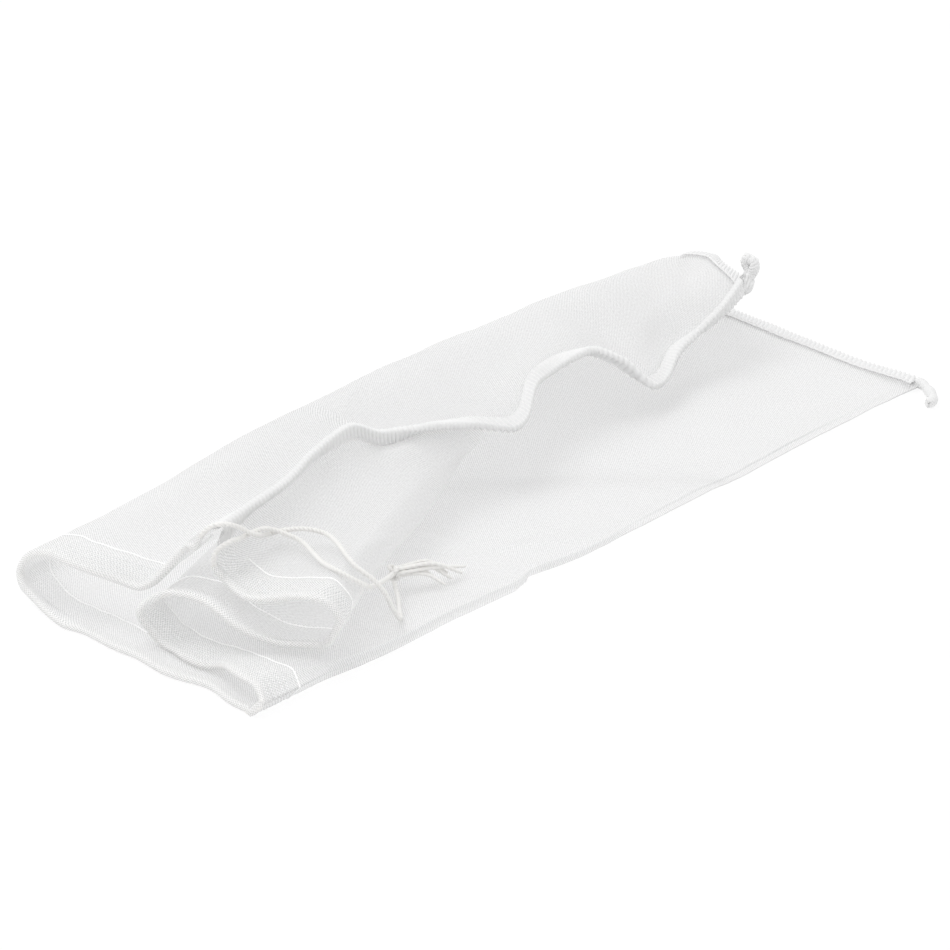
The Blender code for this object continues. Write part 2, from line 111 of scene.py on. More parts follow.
camera_data = bpy.data.cameras.new("camera")
camera_data.lens = CAMERA_LENS
camera = bpy.data.objects.new("camera", camera_data)
camera.location = CAMERA_AT
camera.rotation_euler = Euler((pi / 2 - CAMERA_TILT * pi / 180, 0, CAMERA_TURN * pi / 180))
bpy.context.scene.collection.objects.link(camera)
bpy.context.scene.camera = camera
bpy.context.scene.view_settings.view_transform = "Standard"
bpy.context.scene.cycles.transparent_max_bounces = 32
bpy.context.scene.cycles.diffuse_bounces = 8

table_mesh = bpy.data.meshes.new("table")
half = TABLE_SIZE / 2
table_corners = [(-half, -half, 0), (half, -half, 0), (half, half, 0), (-half, half, 0)]
table_mesh.from_pydata(table_corners, [], [(0, 1, 2, 3)])
table_finish = bpy.data.materials.new("matte white laminate")
table_finish.use_nodes = True
tree = table_finish.node_tree
lit = add(tree, "ShaderNodeBsdfDiffuse", {"Color": linear(TABLE_WHITE)})
white_table = seen_white(tree, lit.outputs[0], SHADOW_SHARE)
tree.links.new(white_table, tree.nodes["Material Output"].inputs["Surface"])
table_mesh.materials.append(table_finish)
table = bpy.data.objects.new("table", table_mesh)
bpy.context.scene.collection.objects.link(table)

world = bpy.data.worlds.new("white room")
bpy.context.scene.world = world
world.use_nodes = True
tree = world.node_tree
rays = add(tree, "ShaderNodeLightPath")
strength = add(tree, "ShaderNodeMapRange", {
    "Value": rays.outputs["Is Camera Ray"], "To Min": WALL_LIGHT, "To Max": 1.0})
background = tree.nodes["Background"]
background.inputs["Color"].default_value = linear(WALL_WHITE)
tree.links.new(strength.outputs[0], background.inputs["Strength"])


def soft_lamp(name, at, size, power):
    """A square softbox that faces the bag."""
    data = bpy.data.lights.new(name, "AREA")
    data.shape = "SQUARE"
    data.size = size
    data.energy = power
    lamp = bpy.data.objects.new(name, data)
    lamp.location = at
    lamp.rotation_euler = (-Vector(at)).to_track_quat("-Z", "Y").to_euler()
    bpy.context.scene.collection.objects.link(lamp)


soft_lamp("overhead softbox", LAMP_AT, LAMP_SIZE, LAMP_POWER)

# ---------------------------------------------------------------------------------------------------
# The cut of net
# One cut of fine knitted nylon net, 610 x 483 mm, folded once at the front long edge. It lies folded
# again lengthwise, so that its sewn edge stands in waves on top and its mouth opens in two lobes.
# ---------------------------------------------------------------------------------------------------
BAG_WIDTH = 305 * MM
BAG_LENGTH = 483 * MM
LAY_HEIGHT = 64 * MM
LAYER_GAP = 1.5 * MM
SEAM_WIDTH = 7.5 * MM
HEM_WIDTH = 20 * MM
MOUTH_SPREAD = 8 * MM
REST_HEIGHT = 0.35 * MM
SEAM_RISE = 1.9 * MM
HALF_LENGTH = BAG_LENGTH / 2
QUARTER_WIDTH = BAG_WIDTH / 4

# Ridges and valleys that run the length of the lay, each as (along, across, up) in shares of half the
# length, a quarter of the width and the height
SEAM_EDGE = [
    (-0.87, 0.29, 0.89), (-0.77, 0.21, 0.91), (-0.66, 0.16, 0.94), (-0.52, 0.00, 0.97),
    (-0.41, -0.07, 1.00), (-0.30, -0.08, 0.82), (-0.20, 0.00, 0.77), (-0.08, 0.04, 0.65),
    (0.00, 0.18, 0.58), (0.17, -0.09, 0.69), (0.35, -0.17, 0.70), (0.43, -0.08, 0.55),
    (0.50, 0.03, 0.28), (0.66, -0.14, 0.41), (0.77, -0.16, 0.56), (0.91, -0.26, 0.74),
]
# How far the sewn edge leans over to the front, as (along, degrees) from halfway between its layers
SEAM_LEAN = [
    (-0.87, 26), (-0.52, 26), (-0.43, 4), (-0.28, 0), (-0.20, 22), (0.00, 20), (0.20, 24), (0.30, -10),
    (0.37, -35), (0.45, -30), (0.51, 0), (0.64, -35), (0.76, -75), (0.91, -110),
]
OUTER_RAILS = {
    "dip": [
        (-0.94, -0.24, 0.38), (-0.83, -0.24, 0.44), (-0.54, -0.35, 0.62), (-0.31, -0.39, 0.69),
        (0.00, -0.34, 0.69), (0.21, -0.43, 0.73), (0.37, -0.48, 0.75), (0.50, -0.39, 0.58),
        (0.66, -0.47, 0.62), (0.89, -0.54, 0.70), (0.94, -0.56, 0.67),
    ],
    "back_top": [
        (-1.00, -0.76, 0.46), (-0.79, -0.76, 0.52), (-0.54, -0.76, 0.66), (-0.31, -0.76, 0.77),
        (-0.10, -0.76, 0.81), (0.10, -0.76, 0.82), (0.45, -0.76, 0.82), (0.61, -0.76, 0.79),
        (0.85, -0.77, 0.73), (0.99, -0.78, 0.62),
    ],
    "back_shoulder": [
        (-1.00, -0.98, 0.38), (-0.31, -1.00, 0.60), (0.21, -1.01, 0.67), (0.85, -1.03, 0.60),
        (1.01, -1.04, 0.55),
    ],
    "back_edge": [(-1.00, -1.07, 0.20), (-0.31, -1.09, 0.30), (0.21, -1.10, 0.34), (1.02, -1.14, 0.28)],
    "back_heel": [(-1.015, -0.99, 0.085), (-0.80, -1.01, 0.09), (1.02, -1.05, 0.09)],
    "floor_back": [(-1.02, -0.78, 0.00), (-0.80, -0.86, 0.00), (1.06, -0.92, 0.00)],
    "floor_front": [
        (-1.035, 1.06, 0.00), (-0.90, 1.09, 0.00), (-0.34, 1.12, 0.00), (-0.28, 1.03, 0.00),
        (-0.20, 1.05, 0.00), (0.30, 1.04, 0.00), (1.012, 0.97, 0.00),
    ],
    "front_edge": [
        (-1.03, 1.17, 0.120), (-0.90, 1.155, 0.100), (-0.34, 1.16, 0.060), (-0.305, 1.135, 0.055),
        (-0.28, 1.09, 0.052), (-0.20, 1.12, 0.050), (0.30, 1.11, 0.050), (0.60, 1.08, 0.045),
        (1.012, 1.05, 0.045),
    ],
}
INNER_RAILS = {
    "front_top": [
        (-1.01, 1.04, 0.215), (-0.96, 1.04, 0.190), (-0.80, 1.12, 0.135), (-0.34, 1.15, 0.11),
        (-0.28, 1.09, 0.10), (-0.10, 1.10, 0.09),
    ],
    "step_front": [
        (-1.00, 0.82, 0.210), (-0.96, 0.81, 0.170), (-0.80, 0.78, 0.115), (-0.31, 0.76, 0.10),
        (-0.10, 0.70, 0.06),
    ],
    "step_back": [(-0.975, 0.46, 0.085), (-0.94, 0.42, 0.07), (-0.60, 0.07, 0.05), (-0.10, -0.13, 0.05)],
    "inner_foot": [(-0.975, 0.14, 0.085), (-0.94, 0.10, 0.07), (-0.60, -0.32, 0.06), (-0.10, -0.74, 0.05)],
    "inner_edge": [(-0.99, 0.00, 0.27), (-0.60, -0.47, 0.25), (-0.33, -0.73, 0.31), (-0.08, -0.88, 0.36)],
    "inner_top": [(-0.95, 0.10, 0.40), (-0.60, -0.34, 0.45), (-0.33, -0.58, 0.53), (-0.08, -0.71, 0.62)],
    "lower_leaf": [(-0.93, 0.31, 0.40), (-0.60, -0.10, 0.47), (-0.33, -0.33, 0.47), (-0.08, -0.50, 0.56)],
    "lower_valley": [(-0.88, 0.84, 0.20), (-0.60, 0.39, 0.20), (-0.33, 0.06, 0.25), (-0.08, -0.25, 0.38)],
    "bulge_low": [(-0.85, 1.05, 0.22), (-0.60, 0.59, 0.22), (-0.33, 0.25, 0.25), (-0.08, -0.12, 0.34)],
    "bulge_edge": [(-0.85, 1.25, 0.55), (-0.60, 0.75, 0.44), (-0.33, 0.37, 0.37), (-0.08, -0.04, 0.37)],
    "bulge_top": [(-0.86, 1.13, 0.70), (-0.60, 0.65, 0.60), (-0.33, 0.29, 0.52), (-0.08, -0.02, 0.41)],
    "upper_leaf": [(-0.89, 0.63, 0.55), (-0.60, 0.43, 0.60), (-0.33, 0.15, 0.62), (-0.08, -0.03, 0.50)],
    "upper_root": [(-0.88, 0.37, 0.58), (-0.60, 0.20, 0.69), (-0.33, 0.01, 0.71), (-0.08, -0.05, 0.57)],
}

# Past the middle the inner layer lies nested on the outer one. Each inner rail rests at this place along
# the outer keys, counted from the seam edge (0) to the front edge (9).
NESTED_AT = [9, 8, 7.75, 7.35, 7, 5, 3.6, 3, 2.6, 2.3, 2.1, 1.9, 1.6, 1.3, 1, 0]
NEST_FROM = 0.45
NEST_TO = 0.6
NEST_GAP = 3 * MM
FOLD_RISE = 3.0 * MM
STEP_ACROSS = 0.02
STEP_ALONG = 0.002
FRONT_KEY = len(OUTER_RAILS) + 1
LAST_KEY = FRONT_KEY + len(INNER_RAILS) + 2

# How finely the cloth is drawn, and how it folds and creases. Each soft fold is a size and a depth. Each
# crease runs between two (key round the bag, mm in from the mouth) and sinks by so many mm, or stands out
# where they are below zero.
COLUMN_STEP = 1.9 * MM
ROW_STEP = 2.0 * MM
SOFT_FOLDS = [(60 * MM, 1.6 * MM), (24 * MM, 0.7 * MM), (9 * MM, 0.14 * MM)]
FOLD_SEED = 7
SEAM_STIFFNESS = 12 * MM
CREASE_WIDTH = 2.2 * MM
CREASES = [
    ((11.14, 164), (10.15, 229), -1.1), ((11.25, 172), (10.45, 236), 0.5), ((11.5, 120), (11.2, 200), -0.7),
    ((20.0, 60), (18.8, 170), -0.8), ((2.4, 150), (3.6, 245), -0.8), ((2.6, 60), (3.4, 140), 0.6),
]
MOUTH_SWAY = 4.5 * MM
SWAY_SIZE = (31 * MM, 23 * MM)
SWAY_SEED = 4.0
SWAY_REACH = 70 * MM
SWAY_FROM_SEAM = 30 * MM
GATHER_PITCH = 3.1 * MM
GATHER_DEPTH = 0.45 * MM
GATHER_WANDER = 43 * MM
PUCKER_PITCH = 4.6 * MM
PUCKER_DEPTH = 0.28 * MM
PUCKER_REACH = 11 * MM
PUCKER_WANDER = 31 * MM

# The net itself. Its real pitch is about 0.5 mm, drawn at 0.8 mm so that the weave shows. The covers are
# the shares that threads fill at a hole and at a crossing. Filament sends most light on ahead, so that
# PASSED_ON of what threads would hold back from the layers behind still reaches them.
NET_WHITE = "#F4F4F4"
NET_PITCH = 0.8 * MM
UNEVEN_LOOPS = 1.3 * MM
DRIFT_SIZE = 35 * MM
DRIFT = 2.2 * MM
OPEN_COVER = 0.62
THREAD_COVER = 0.95
PASSED_ON = 0.55
LIT_THROUGH = 0.42
CUT_START = (0.32, 0.03)


def monotone(places, values, at):
    """Shape-keeping cubic through values (one row per place), read at the places in at."""
    places = np.asarray(places, float)
    values = np.asarray(values, float)
    at = np.clip(at, places[0], places[-1])
    step = np.diff(places)[:, None]
    slope = np.diff(values, axis=0) / step
    tangent = np.vstack([slope[:1], np.zeros_like(slope[1:]), slope[-1:]])
    before, after = slope[:-1], slope[1:]
    near, far = step[:-1], step[1:]
    weight_b, weight_a = 2 * far + near, far + 2 * near
    with np.errstate(divide="ignore", invalid="ignore"):
        mean = (weight_b + weight_a) / (weight_b / before + weight_a / after)
    tangent[1:-1] = np.where(before * after > 0, mean, 0)
    i = np.clip(np.searchsorted(places, at, side="right") - 1, 0, len(step) - 1)
    h = step[i]
    t = ((at - places[i])[:, None]) / h
    return (
        (1 + 2 * t) * (1 - t) ** 2 * values[i]
        + t * (1 - t) ** 2 * h * tangent[i]
        + t * t * (3 - 2 * t) * values[i + 1]
        + t * t * (t - 1) * h * tangent[i + 1]
    )


def ease(low, high, at):
    """Smooth step from 0 at low to 1 at high."""
    t = np.clip((at - low) / (high - low), 0, 1)
    return t * t * (3 - 2 * t)


def unit(vector):
    return vector / np.linalg.norm(vector, axis=-1, keepdims=True)


def distances(path):
    """How far along a path each of its points lies."""
    return np.concatenate([[0], np.cumsum(np.linalg.norm(np.diff(path, axis=0), axis=1))])


def quads(tall, wide):
    """The faces of a grid of points, row by row."""
    index = np.arange(tall * wide).reshape(tall, wide)
    return np.stack([index[:-1, :-1], index[:-1, 1:], index[1:, 1:], index[1:, :-1]], axis=-1).reshape(-1, 4)


def floor_height(v):
    """Height of the lowest cloth, which rises over the seam's threads at the bottom."""
    rise = ease(BAG_LENGTH - 4 * SEAM_WIDTH, BAG_LENGTH - SEAM_WIDTH, v * BAG_LENGTH)
    return REST_HEIGHT + SEAM_RISE * float(rise)


def on_rail(rail, v, end=None):
    """The rail's point at share v of the way from its mouth end to its last point, or to end."""
    rail = np.array(rail)
    along = rail[0, 0] + ((rail[-1, 0] if end is None else end) - rail[0, 0]) * v
    across, up = monotone(rail[:, 0], rail[:, 1:], np.array([along]))[0]
    return np.array([across * QUARTER_WIDTH, along * HALF_LENGTH, max(up * LAY_HEIGHT, floor_height(v))])


def along_keys(keys, at):
    """Points on the curve through the keys, where at counts keys."""
    lengths = distances(keys)
    return monotone(lengths, keys, np.interp(at, np.arange(len(keys)), lengths))


def fin(v, dip, upper_root):
    """Edge and root of the sewn fin where both layers stand together, for the outer and inner layer."""
    nested = float(ease(NEST_FROM, NEST_TO, v))
    edge = on_rail(SEAM_EDGE, v)
    upright = np.array([1, 0, 1])
    lean = unit(unit((dip - edge) * upright) + unit((upper_root - edge) * upright) * (1 - nested))
    tilt = float(np.interp(edge[1] / HALF_LENGTH, *np.transpose(SEAM_LEAN))) * pi / 180
    over, _, up = lean
    lean = np.array([over * cos(tilt) + up * sin(tilt), 0, up * cos(tilt) - over * sin(tilt)])
    root = edge + lean * SEAM_WIDTH
    heading = on_rail(SEAM_EDGE, min(v + STEP_ALONG, 1)) - on_rail(SEAM_EDGE, max(v - STEP_ALONG, 0))
    inward = unit(np.cross(lean, heading))
    closing = ease(0, HEM_WIDTH * 2, v * BAG_LENGTH)
    apart = inward * (LAYER_GAP + MOUTH_SPREAD * (1 - closing)) / 2
    together = inward * LAYER_GAP / 2
    return (edge - together, root - apart), (root + apart, edge + together)


def outer_layer(v, at):
    """Points of the layer from the seam edge, over the back and along the table to the front fold."""
    rails = [on_rail(rail, v) for rail in OUTER_RAILS.values()]
    upper_root = on_rail(INNER_RAILS["upper_root"], v, -INNER_RAILS["upper_root"][0][0])
    return along_keys(np.array([*fin(v, rails[0], upper_root)[0], *rails]), at)


def free_inner_layer(v, at):
    """Points of the layer that folds back and forth, from the front fold to the seam edge."""
    rails = [on_rail(rail, v, -rail[0][0]) for rail in INNER_RAILS.values()]
    inner_fin = fin(v, on_rail(OUTER_RAILS["dip"], v), rails[-1])[1]
    return along_keys(np.array([on_rail(OUTER_RAILS["front_edge"], v), *rails, *inner_fin]), at)


def nested_layer(v, at):
    """The inner layer where it lies against the outer one, at counting keys from the front edge."""
    host = np.interp(at, np.arange(len(NESTED_AT)), NESTED_AT)
    gaps = np.full(len(NESTED_AT), LAYER_GAP + NEST_GAP * (1 - float(ease(NEST_TO, 1, v))))
    gaps[:2] = 0, FOLD_RISE
    gaps[-2:] = LAYER_GAP
    gap = monotone(np.arange(len(gaps)), gaps[:, None], at)
    across = outer_layer(v, host + STEP_ACROSS) - outer_layer(v, host - STEP_ACROSS)
    along = outer_layer(min(v + STEP_ALONG, 1), host) - outer_layer(max(v - STEP_ALONG, 0), host)
    return outer_layer(v, host) + unit(np.cross(across, along)) * gap


def ring(v, at):
    """Points of the cloth at share v of its length, where at counts keys."""
    is_outer = at <= FRONT_KEY
    inner_at = at[~is_outer] - FRONT_KEY
    nested = float(ease(NEST_FROM, NEST_TO, v))
    points = np.zeros((len(at), 3))
    points[is_outer] = outer_layer(v, at[is_outer])
    free = free_inner_layer(v, inner_at)
    points[~is_outer] = free
    if nested > 0:
        points[~is_outer] += (nested_layer(v, inner_at) - free) * nested
    points[:, 2] = np.maximum(points[:, 2], floor_height(v))
    return points


def column_keys():
    """Places of the columns, close enough together at every key for the widest part of the bag."""
    keys = np.arange(LAST_KEY + 1).astype(float)
    rings = [ring(v, keys) for v in (0, 0.3, 0.7, 1)]
    spans = np.max([np.linalg.norm(np.diff(points, axis=0), axis=1) for points in rings], axis=0)
    counts = np.ceil(spans / COLUMN_STEP).astype(int)
    places = [np.linspace(key, key + 1, count, endpoint=False) for key, count in enumerate(counts)]
    return np.array([*np.concatenate(places), LAST_KEY])


def grid_normals(grid):
    """Unit normals of a grid of points, towards the inside of the bag."""
    return unit(np.cross(np.gradient(grid, axis=1), np.gradient(grid, axis=0)))


def crumple(grid):
    """Soft folds of the whole lay, as shifts that layers lying together share."""
    noise.seed_set(FOLD_SEED)
    shift = np.zeros((grid.shape[0] * grid.shape[1], 3))
    for size, depth in SOFT_FOLDS:
        shift += [noise.noise_vector(Vector(point) / size) * depth for point in grid.reshape(-1, 3)]
    return shift.reshape(grid.shape)


columns = column_keys()
hem_rows = round(HEM_WIDTH / GATHER_PITCH * 5)
insets = np.concatenate([
    np.linspace(0, HEM_WIDTH, hem_rows, endpoint=False),
    np.linspace(HEM_WIDTH, BAG_LENGTH, round((BAG_LENGTH - HEM_WIDTH) / ROW_STEP) + 1)])
cloth = np.array([ring(inset / BAG_LENGTH, columns) for inset in insets])

# The knot's solid tells where the lay stands over the frame's origin.
KNOT_AT = np.array([51.5, -127.5, 16.0]) * MM
KNOT_OFFSET = np.array([-0.15, -0.05, 0]) * MM
knot_low, knot_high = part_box("drawstring_knot")
LAY_SHIFT = (np.array(knot_low) + np.array(knot_high)) / 2 - KNOT_AT - KNOT_OFFSET
LAY_SHIFT[2] = 0
cloth += LAY_SHIFT

from_edge = np.array([distances(row) for row in cloth])
across = from_edge - from_edge[:, [int(np.searchsorted(columns, FRONT_KEY))]]
to_seam = np.minimum(from_edge, from_edge[:, -1:] - from_edge)
pucker = np.cos(insets[:, None] / PUCKER_PITCH * tau + 3 * np.sin(insets[:, None] / PUCKER_WANDER))
height = np.zeros(across.shape)
for (key_a, inset_a), (key_b, inset_b), rise in CREASES:
    ends = [np.array([np.interp(key, columns, across[np.searchsorted(insets, inset * MM)]), inset * MM])
            for key, inset in ((key_a, inset_a), (key_b, inset_b))]
    span = ends[1] - ends[0]
    spot = np.stack([across, np.broadcast_to(insets[:, None], across.shape)], axis=-1) - ends[0]
    share = np.clip(spot @ span / (span @ span), 0, 1)
    off = np.linalg.norm(spot - share[..., None] * span, axis=-1)
    height += rise * MM * np.exp(-(off / CREASE_WIDTH) ** 2) * np.sin(share * pi) ** 0.5
gather = np.sin(insets[:, None] / GATHER_PITCH * tau + 2.5 * np.sin(across / GATHER_WANDER))
height += gather * GATHER_DEPTH * ease(1, 0.6, insets / HEM_WIDTH)[:, None] * ease(0, SEAM_WIDTH, to_seam)
height += pucker * PUCKER_DEPTH * np.exp(-np.maximum(to_seam - SEAM_WIDTH, 0) / PUCKER_REACH) * ease(
    0.4 * SEAM_WIDTH, SEAM_WIDTH, to_seam)
soft = crumple(cloth) * ease(0, SEAM_STIFFNESS, to_seam)[..., None]
cloth += grid_normals(cloth) * height[..., None] + soft
lowest = REST_HEIGHT / 2 + LAYER_GAP * ease(FRONT_KEY, FRONT_KEY + 0.8, columns)
cloth[..., 2] = np.maximum(cloth[..., 2], lowest)
mouth = [Vector((x / SWAY_SIZE[0], z / SWAY_SIZE[1], SWAY_SEED)) for x, _, z in cloth[0]]
sway = np.array([noise.noise(place) for place in mouth])
sway_share = ease(1, 0, insets / SWAY_REACH)[:, None] * ease(0, SWAY_FROM_SEAM, to_seam)
cloth[..., 1] += MOUTH_SWAY * sway * sway_share
normals = grid_normals(cloth)


def on_cloth(keys, inset, lift=0.0):
    """Points on the net at places round it and distances in from the mouth, lifted towards its inside.

    An inset below zero runs out in front of the mouth.
    """
    keys, inset, lift = np.broadcast_arrays(np.atleast_1d(np.asarray(keys, float)), inset, lift)
    c = np.clip(np.interp(keys, columns, np.arange(len(columns))), 0, len(columns) - 1.001)
    r = np.clip(np.interp(inset, insets, np.arange(len(insets))), 0, len(insets) - 1.001)
    c0, r0 = c.astype(int), r.astype(int)
    tc, tr = (c - c0)[:, None], (r - r0)[:, None]

    def read(grid):
        low = grid[r0, c0] * (1 - tc) + grid[r0, c0 + 1] * tc
        high = grid[r0 + 1, c0] * (1 - tc) + grid[r0 + 1, c0 + 1] * tc
        return low * (1 - tr) + high * tr

    out = unit(cloth[0, c0] - cloth[1, c0]) * np.maximum(-inset, 0)[:, None]
    return read(cloth) + out + unit(read(normals)) * lift[:, None]


def grid_piece(name, grid, flat_across, flat_along, finish):
    """A sheet from a grid of points, with the cloth's own flat measures in metres as its UVs."""
    faces = quads(*grid.shape[:2])
    mesh = bpy.data.meshes.new(name)
    mesh.from_pydata(grid.reshape(-1, 3).tolist(), [], faces.tolist())
    flat = np.stack([flat_across, flat_along], axis=-1).reshape(-1, 2)
    corners = flat[faces.reshape(-1)].reshape(-1).astype(np.float32)
    mesh.uv_layers.new(name="cut").data.foreach_set("uv", corners)
    mesh.materials.append(finish)
    mesh.shade_smooth()
    piece = bpy.data.objects.new(name, mesh)
    bpy.context.scene.collection.objects.link(piece)
    return piece


# Nylon monofilament knitted to an open net and heat-set. Each strand is a glossy white thread, and the
# holes between them let the layers behind show through, so folds and overlaps read as soft greys.
net = bpy.data.materials.new("knitted nylon net, heat-set")
net.use_nodes = True
tree = net.node_tree
cut = add(tree, "ShaderNodeUVMap", uv_map="cut")
drift = add(tree, "ShaderNodeTexNoise", {"Vector": cut.outputs[0], "Scale": 1 / DRIFT_SIZE, "Detail": 3.0})
drift = add(tree, "ShaderNodeVectorMath", {0: drift.outputs["Color"], 1: (DRIFT, DRIFT, 0)},
            operation="MULTIPLY")
laid = add(tree, "ShaderNodeVectorMath", {0: cut.outputs[0], 1: drift.outputs[0]}, operation="ADD")
laid = add(tree, "ShaderNodeSeparateXYZ", {0: laid.outputs[0]})


def waves(axis, pitch):
    """Cosine waves along one direction of the net."""
    turn = add(tree, "ShaderNodeMath", {0: laid.outputs[axis], 1: tau / pitch}, operation="MULTIPLY")
    return add(tree, "ShaderNodeMath", {0: turn.outputs[0]}, operation="COSINE").outputs[0]


staggered = add(tree, "ShaderNodeMath", {0: waves("X", NET_PITCH * 2), 1: waves("Y", NET_PITCH * 1.5)},
                operation="MULTIPLY")
woven = add(tree, "ShaderNodeMapRange", {"Value": staggered.outputs[0], "From Min": 0.75, "From Max": -0.6},
            interpolation_type="SMOOTHSTEP")
uneven = add(tree, "ShaderNodeTexNoise", {
    "Vector": cut.outputs[0], "Scale": 1 / UNEVEN_LOOPS, "Detail": 2.0})
tension = add(tree, "ShaderNodeMapRange", {"Value": uneven.outputs["Fac"], "To Min": 0.76, "To Max": 1.24})
cover = add(tree, "ShaderNodeMapRange", {
    "Value": woven.outputs[0], "To Min": OPEN_COVER, "To Max": THREAD_COVER})
cover = add(tree, "ShaderNodeMath", {0: cover.outputs[0], 1: tension.outputs[0]}, operation="MULTIPLY")
rays = add(tree, "ShaderNodeLightPath")
kept = add(tree, "ShaderNodeMapRange", {
    "Value": rays.outputs["Is Camera Ray"], "To Min": 1 - PASSED_ON, "To Max": 1.0})
cover = add(tree, "ShaderNodeMath", {0: cover.outputs[0], 1: kept.outputs[0]}, operation="MULTIPLY")
relief = add(tree, "ShaderNodeBump", {"Height": woven.outputs[0], "Strength": 0.35, "Distance": 0.15 * MM})
shader = tree.nodes["Principled BSDF"]
shader.inputs["Base Color"].default_value = linear(NET_WHITE)
shader.inputs["Roughness"].default_value = 0.5
shader.inputs["IOR"].default_value = 1.53
shader.inputs["Specular IOR Level"].default_value = 0.4
tree.links.new(relief.outputs[0], shader.inputs["Normal"])
lit_through = add(tree, "ShaderNodeBsdfTranslucent", {"Color": linear(NET_WHITE)})
threads = add(tree, "ShaderNodeMixShader", {
    0: LIT_THROUGH, 1: shader.outputs[0], 2: lit_through.outputs[0]})
holes = add(tree, "ShaderNodeBsdfTransparent")
knitted = add(tree, "ShaderNodeMixShader", {
    0: cover.outputs[0], 1: holes.outputs[0], 2: threads.outputs[0]})
tree.links.new(knitted.outputs[0], tree.nodes["Material Output"].inputs["Surface"])

flat_along = np.broadcast_to(insets[:, None], across.shape)
net_body = grid_piece("net_body", cloth, across + CUT_START[0], flat_along + CUT_START[1], net)
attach(net_body, "bag")
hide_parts("mesh_body")

# ---------------------------------------------------------------------------------------------------
# The turned mouth
# The net's own edge, turned in by 20 mm and rolled round the drawstring to make its casing. One line of
# lock stitch in white polyester holds it, seen from outside and from inside the mouth.
# ---------------------------------------------------------------------------------------------------
CORD_DIAMETER = 2.0 * MM
CASING_FROM = 1.3  # key at which the casing starts beside the seam
CORD_LIFT = 1.95 * MM
CORD_INSET = -0.3 * MM
ROLL_RADIUS = 1.75 * MM
STITCH_INSET = 20.5 * MM
STITCH_PITCH = 2.6 * MM
STITCH_THREAD = 0.55 * MM
STITCH_ROWS = 7
FIBRE_SIZE = 1.2 * MM


def facing_inner(key):
    """The key of the inner layer that lies against a key of the outer one."""
    return FRONT_KEY + np.interp(key, NESTED_AT[::-1], np.arange(len(NESTED_AT))[::-1])


hem_keys = columns[(columns >= CASING_FROM) & (columns <= facing_inner(CASING_FROM))]

# The hem's section in mm: in from the mouth, and off the net. It runs from the stitches to the roll round
# the cord.
hem_leaf = [
    (22, 0.45), (21.5, 0.30), (STITCH_INSET / MM, 0.22), (18, 0.35), (14, 0.6), (11, 0.8), (8, 1.1),
    (6, 1.7), (4, 2.6),
]
hem_roll = [
    ((CORD_INSET + ROLL_RADIUS * cos(angle)) / MM, (CORD_LIFT + ROLL_RADIUS * sin(angle)) / MM)
    for angle in np.linspace(pi * 0.38, pi * 1.5, 12)
]
hem_section = np.array([*hem_leaf, *hem_roll, (0.0, 0.0)]) * MM
hem_grid = np.array([on_cloth(hem_keys, inset, lift) for inset, lift in hem_section])
hem_flat = distances(hem_section)
hem_across = np.interp(hem_keys, columns, across[0]) + CUT_START[0]
turned_hem = grid_piece(
    "turned_hem", hem_grid, np.broadcast_to(hem_across, hem_grid.shape[:2]),
    np.broadcast_to(hem_flat[:, None], hem_grid.shape[:2]), net)
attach(turned_hem, "bag")
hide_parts("mouth_casing")


def transport(path):
    """Tangents, and a pair of crossed normals that turn as little as possible along a path."""
    tangents = unit(np.gradient(path, axis=0))
    first = np.cross(tangents[0], (0.31, 0.2, 0.93))
    normal = first / np.linalg.norm(first)
    sides = []
    for tangent in tangents:
        normal = normal - tangent * (normal @ tangent)
        normal = normal / np.linalg.norm(normal)
        sides.append(normal)
    sides = np.array(sides)
    return tangents, sides, np.cross(tangents, sides)


def tube(path, radii, sides=8, lobes=0, lay=1.0, groove=0.0):
    """Points and faces of a closed tube along a path. Its section may have lobes that twist as they go."""
    path = np.asarray(path)
    _, side, up = transport(path)
    along = distances(path)
    angle = np.linspace(0, tau, sides, endpoint=False)[None, :]
    swell = 1.0
    if lobes:
        swell = 1 - groove * (1 - np.abs(np.cos((angle * lobes - along[:, None] * tau * lobes / lay) / 2)))
    reach = np.broadcast_to(np.asarray(radii, float).reshape(-1, 1) * swell, (len(path), sides))
    points = path[:, None] + reach[..., None] * (
        np.cos(angle)[..., None] * side[:, None] + np.sin(angle)[..., None] * up[:, None])
    last = len(path) * sides
    index = np.arange(last).reshape(len(path), sides)
    turned = np.roll(index, -1, axis=1)
    faces = np.stack([index[:-1], turned[:-1], turned[1:], index[1:]], axis=-1).reshape(-1, 4).tolist()
    faces += [(int(turned[0, i]), int(index[0, i]), last) for i in range(sides)]
    faces += [(int(index[-1, i]), int(turned[-1, i]), last + 1) for i in range(sides)]
    return np.vstack([points.reshape(-1, 3), path[:1], path[-1:]]), faces


def tubes_piece(name, parts, finish):
    """One object from several tubes."""
    points, faces, first = [], [], 0
    for part_points, part_faces in parts:
        points.append(part_points)
        faces += [tuple(first + i for i in face) for face in part_faces]
        first += len(part_points)
    mesh = bpy.data.meshes.new(name)
    mesh.from_pydata(np.vstack(points).tolist(), [], faces)
    mesh.materials.append(finish)
    mesh.shade_smooth()
    piece = bpy.data.objects.new(name, mesh)
    bpy.context.scene.collection.objects.link(piece)
    return piece


